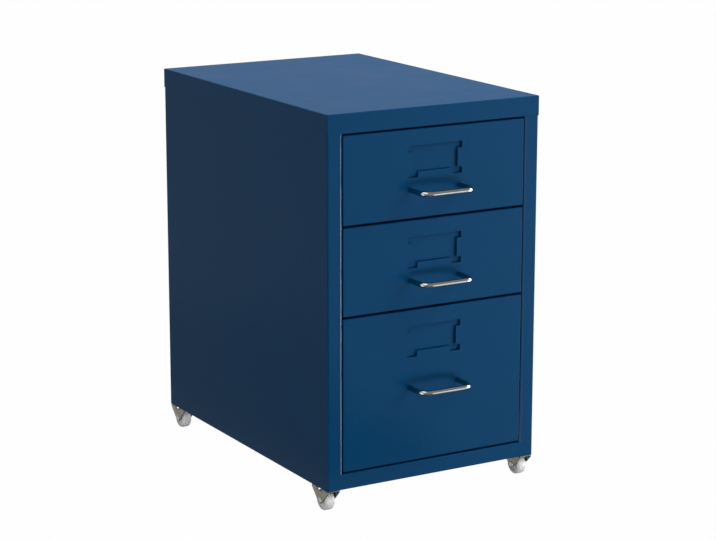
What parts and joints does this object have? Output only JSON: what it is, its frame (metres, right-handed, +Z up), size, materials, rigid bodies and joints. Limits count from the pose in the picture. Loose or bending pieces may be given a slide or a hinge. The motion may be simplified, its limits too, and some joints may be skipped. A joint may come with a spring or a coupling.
{
  "type": "drawer pedestal",
  "caption": "Sheet-steel drawer pedestal with a folded cap, sliding drawers with pressed label holders and rod handles, on small fixed castors.",
  "frame": {"origin": "on the floor, under the middle of the whole box, handles included", "axes": "+Z up, -Y towards the front where the drawers open, +X to the right seen from the front"},
  "size_m": [0.28, 0.446, 0.4587],
  "materials": {
    "blue_paint": "satin blue powder coat",
    "chrome": "polished chrome plate",
    "zinc_plate": "dull zinc plate",
    "nylon": "moulded white nylon"
  },
  "bodies": {
    "cabinet": {"top_panel": "blue_paint", "left_side_panel": "blue_paint", "right_side_panel": "blue_paint", "back_panel": "blue_paint", "back_panel_screws": "zinc_plate", "bottom_panel": "blue_paint", "castor_screws": "zinc_plate", "castor_nuts": "zinc_plate", "front_left_castor_bracket": "zinc_plate", "front_left_castor_axle": "zinc_plate", "front_right_castor_bracket": "zinc_plate", "front_right_castor_axle": "zinc_plate", "rear_left_castor_bracket": "zinc_plate", "rear_left_castor_axle": "zinc_plate", "rear_right_castor_bracket": "zinc_plate", "rear_right_castor_axle": "zinc_plate", "upper_left_runner": "blue_paint", "upper_right_runner": "blue_paint", "middle_left_runner": "blue_paint", "middle_right_runner": "blue_paint", "lower_left_runner": "blue_paint", "lower_right_runner": "blue_paint"},
    "upper_drawer": {"upper_drawer_front": "blue_paint", "upper_drawer_tray": "blue_paint", "upper_drawer_back": "blue_paint", "upper_handle": "chrome", "upper_handle_screws": "zinc_plate"},
    "middle_drawer": {"middle_drawer_front": "blue_paint", "middle_drawer_tray": "blue_paint", "middle_drawer_back": "blue_paint", "middle_handle": "chrome", "middle_handle_screws": "zinc_plate"},
    "lower_drawer": {"lower_drawer_front": "blue_paint", "lower_drawer_tray": "blue_paint", "lower_drawer_back": "blue_paint", "lower_handle": "chrome", "lower_handle_screws": "zinc_plate"},
    "front_left_wheel": {"front_left_castor_wheel": "nylon"},
    "front_right_wheel": {"front_right_castor_wheel": "nylon"},
    "rear_left_wheel": {"rear_left_castor_wheel": "nylon"},
    "rear_right_wheel": {"rear_right_castor_wheel": "nylon"}
  },
  "joints": [
    {"name": "upper_drawer_slide", "type": "slide", "parent": "cabinet", "child": "upper_drawer", "axis": [0, -1, 0], "range_m": [0, 0.285]},
    {"name": "middle_drawer_slide", "type": "slide", "parent": "cabinet", "child": "middle_drawer", "axis": [0, -1, 0], "range_m": [0, 0.285]},
    {"name": "lower_drawer_slide", "type": "slide", "parent": "cabinet", "child": "lower_drawer", "axis": [0, -1, 0], "range_m": [0, 0.285]},
    {"name": "front_left_wheel_spin", "type": "hinge", "parent": "cabinet", "child": "front_left_wheel", "pos_m": [-0.13125, -0.1685, 0.0125], "axis": [1, 0, 0], "continuous": true},
    {"name": "front_right_wheel_spin", "type": "hinge", "parent": "cabinet", "child": "front_right_wheel", "pos_m": [0.13125, -0.1685, 0.0125], "axis": [1, 0, 0], "continuous": true},
    {"name": "rear_left_wheel_spin", "type": "hinge", "parent": "cabinet", "child": "rear_left_wheel", "pos_m": [-0.13125, 0.2012, 0.0125], "axis": [1, 0, 0], "continuous": true},
    {"name": "rear_right_wheel_spin", "type": "hinge", "parent": "cabinet", "child": "rear_right_wheel", "pos_m": [0.13125, 0.2012, 0.0125], "axis": [1, 0, 0], "continuous": true}
  ]
}
